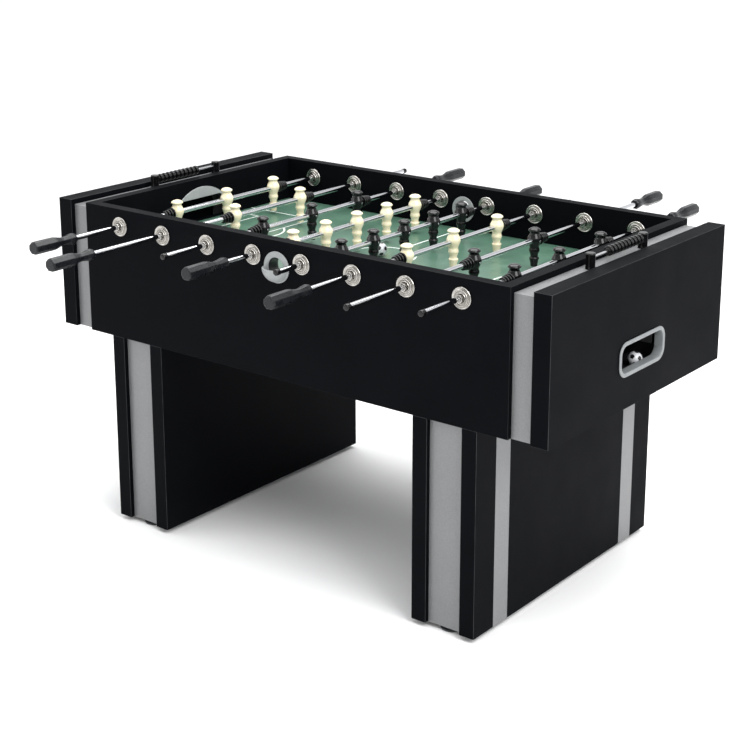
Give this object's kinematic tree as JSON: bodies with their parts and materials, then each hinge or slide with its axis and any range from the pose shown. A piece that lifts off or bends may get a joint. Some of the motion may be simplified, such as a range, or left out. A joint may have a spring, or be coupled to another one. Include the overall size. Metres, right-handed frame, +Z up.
{
  "type": "foosball table",
  "caption": "Football table: a cabinet on two slab legs, with sliding and turning rods of turned men over a green pitch.",
  "frame": {"origin": "on the floor, under the centre spot of the pitch", "axes": "+X along the table towards the end with the visible ball return, +Y across it, away from the side that the picture shows, +Z up"},
  "size_m": [1.506, 1.51, 0.873],
  "materials": {
    "black_laminate": "matte black laminate on fibreboard",
    "silver_laminate": "satin silver-grey laminate",
    "raw_board": "bare fibreboard",
    "green_pitch": "satin printed green board with white lines",
    "grey_plastic": "satin grey moulded plastic",
    "black_plastic": "satin black moulded plastic",
    "gloss_black": "glossy black plastic",
    "cream_plastic": "semi-gloss cream plastic",
    "grip_black": "matte charcoal black plastic",
    "black_rubber": "satin black rubber",
    "nickel": "bright nickel",
    "polished_steel": "polished steel",
    "zinc": "zinc plated",
    "ball_white": "glossy white with black spots"
  },
  "bodies": {
    "cabinet": {"side_panel_front": "black_laminate", "side_panel_rear": "black_laminate", "end_wall_left": "black_laminate", "end_wall_right": "black_laminate", "end_panels": "black_laminate", "end_spacers": "silver_laminate", "cabinet_floor": "black_laminate", "pitch_board": "green_pitch", "goal_frames": "grey_plastic", "ball_trays": "black_plastic", "ball_return_bezels": "grey_plastic", "ball_entry_cups": "grey_plastic", "rod_bearings": "nickel", "bearing_flanges": "nickel", "leg_panels": "black_laminate", "leg_silver_trim": "silver_laminate", "leg_cross_boards": "raw_board", "leg_bolts": "zinc", "score_posts": "black_plastic", "score_rods": "polished_steel"},
    "slider_1": {"bumpers_1": "black_rubber"},
    "playing_rod_1": {"rod_1": "polished_steel", "players_1": "cream_plastic", "grip_and_cap_1": "grip_black"},
    "slider_2": {"bumpers_2": "black_rubber"},
    "playing_rod_2": {"rod_2": "polished_steel", "players_2": "cream_plastic", "grip_and_cap_2": "grip_black"},
    "slider_3": {"bumpers_3": "black_rubber"},
    "playing_rod_3": {"rod_3": "polished_steel", "players_3": "gloss_black", "grip_and_cap_3": "grip_black"},
    "slider_4": {"bumpers_4": "black_rubber"},
    "playing_rod_4": {"rod_4": "polished_steel", "players_4": "cream_plastic", "grip_and_cap_4": "grip_black"},
    "slider_5": {"bumpers_5": "black_rubber"},
    "playing_rod_5": {"rod_5": "polished_steel", "players_5": "gloss_black", "grip_and_cap_5": "grip_black"},
    "slider_6": {"bumpers_6": "black_rubber"},
    "playing_rod_6": {"rod_6": "polished_steel", "players_6": "cream_plastic", "grip_and_cap_6": "grip_black"},
    "slider_7": {"bumpers_7": "black_rubber"},
    "playing_rod_7": {"rod_7": "polished_steel", "players_7": "gloss_black", "grip_and_cap_7": "grip_black"},
    "slider_8": {"bumpers_8": "black_rubber"},
    "playing_rod_8": {"rod_8": "polished_steel", "players_8": "gloss_black", "grip_and_cap_8": "grip_black"},
    "leveller_foot_1": {"leveller_1": "black_plastic"},
    "leveller_foot_2": {"leveller_2": "black_plastic"},
    "leveller_foot_3": {"leveller_3": "black_plastic"},
    "leveller_foot_4": {"leveller_4": "black_plastic"},
    "counter_beads_left": {"score_beads_left": "gloss_black"},
    "counter_beads_right": {"score_beads_right": "gloss_black"},
    "ball_on_pitch": {"pitch_ball": "ball_white"},
    "ball_in_return": {"return_ball": "ball_white"}
  },
  "joints": [
    {"name": "rod_1_push_pull", "type": "slide", "parent": "cabinet", "child": "slider_1", "axis": [0, 1, 0], "range_m": [-0.1105, 0.1105]},
    {"name": "rod_1_spin", "type": "hinge", "parent": "slider_1", "child": "playing_rod_1", "pos_m": [-0.525, 0, 0.805], "axis": [0, 1, 0], "continuous": true},
    {"name": "rod_2_push_pull", "type": "slide", "parent": "cabinet", "child": "slider_2", "axis": [0, 1, 0], "range_m": [-0.1705, 0.1705]},
    {"name": "rod_2_spin", "type": "hinge", "parent": "slider_2", "child": "playing_rod_2", "pos_m": [-0.375, 0, 0.805], "axis": [0, 1, 0], "continuous": true},
    {"name": "rod_3_push_pull", "type": "slide", "parent": "cabinet", "child": "slider_3", "axis": [0, 1, 0], "range_m": [-0.1105, 0.1105]},
    {"name": "rod_3_spin", "type": "hinge", "parent": "slider_3", "child": "playing_rod_3", "pos_m": [-0.225, 0, 0.805], "axis": [0, 1, 0], "continuous": true},
    {"name": "rod_4_push_pull", "type": "slide", "parent": "cabinet", "child": "slider_4", "axis": [0, 1, 0], "range_m": [-0.0525, 0.0525]},
    {"name": "rod_4_spin", "type": "hinge", "parent": "slider_4", "child": "playing_rod_4", "pos_m": [-0.075, 0, 0.805], "axis": [0, 1, 0], "continuous": true},
    {"name": "rod_5_push_pull", "type": "slide", "parent": "cabinet", "child": "slider_5", "axis": [0, 1, 0], "range_m": [-0.0525, 0.0525]},
    {"name": "rod_5_spin", "type": "hinge", "parent": "slider_5", "child": "playing_rod_5", "pos_m": [0.075, 0, 0.805], "axis": [0, 1, 0], "continuous": true},
    {"name": "rod_6_push_pull", "type": "slide", "parent": "cabinet", "child": "slider_6", "axis": [0, 1, 0], "range_m": [-0.1105, 0.1105]},
    {"name": "rod_6_spin", "type": "hinge", "parent": "slider_6", "child": "playing_rod_6", "pos_m": [0.225, 0, 0.805], "axis": [0, 1, 0], "continuous": true},
    {"name": "rod_7_push_pull", "type": "slide", "parent": "cabinet", "child": "slider_7", "axis": [0, 1, 0], "range_m": [-0.1705, 0.1705]},
    {"name": "rod_7_spin", "type": "hinge", "parent": "slider_7", "child": "playing_rod_7", "pos_m": [0.375, 0, 0.805], "axis": [0, 1, 0], "continuous": true},
    {"name": "rod_8_push_pull", "type": "slide", "parent": "cabinet", "child": "slider_8", "axis": [0, 1, 0], "range_m": [-0.1105, 0.1105]},
    {"name": "rod_8_spin", "type": "hinge", "parent": "slider_8", "child": "playing_rod_8", "pos_m": [0.525, 0, 0.805], "axis": [0, 1, 0], "continuous": true},
    {"name": "leveller_1_screw", "type": "slide", "parent": "cabinet", "child": "leveller_foot_1", "axis": [0, 0, -1], "range_m": [0, 0.015]},
    {"name": "leveller_2_screw", "type": "slide", "parent": "cabinet", "child": "leveller_foot_2", "axis": [0, 0, -1], "range_m": [0, 0.015]},
    {"name": "leveller_3_screw", "type": "slide", "parent": "cabinet", "child": "leveller_foot_3", "axis": [0, 0, -1], "range_m": [0, 0.015]},
    {"name": "leveller_4_screw", "type": "slide", "parent": "cabinet", "child": "leveller_foot_4", "axis": [0, 0, -1], "range_m": [0, 0.015]},
    {"name": "counter_left_slide", "type": "slide", "parent": "cabinet", "child": "counter_beads_left", "axis": [0, 1, 0], "range_m": [0, 0.0602]},
    {"name": "counter_right_slide", "type": "slide", "parent": "cabinet", "child": "counter_beads_right", "axis": [0, 1, 0], "range_m": [-0.0602, 0]},
    {"name": "pitch_ball_roll", "type": "slide", "parent": "cabinet", "child": "ball_on_pitch", "axis": [0, 1, 0], "range_m": [-0.34, 0.34]},
    {"name": "return_ball_roll", "type": "slide", "parent": "cabinet", "child": "ball_in_return", "axis": [0, 1, 0], "range_m": [-0.14695, 0.06995]}
  ]
}
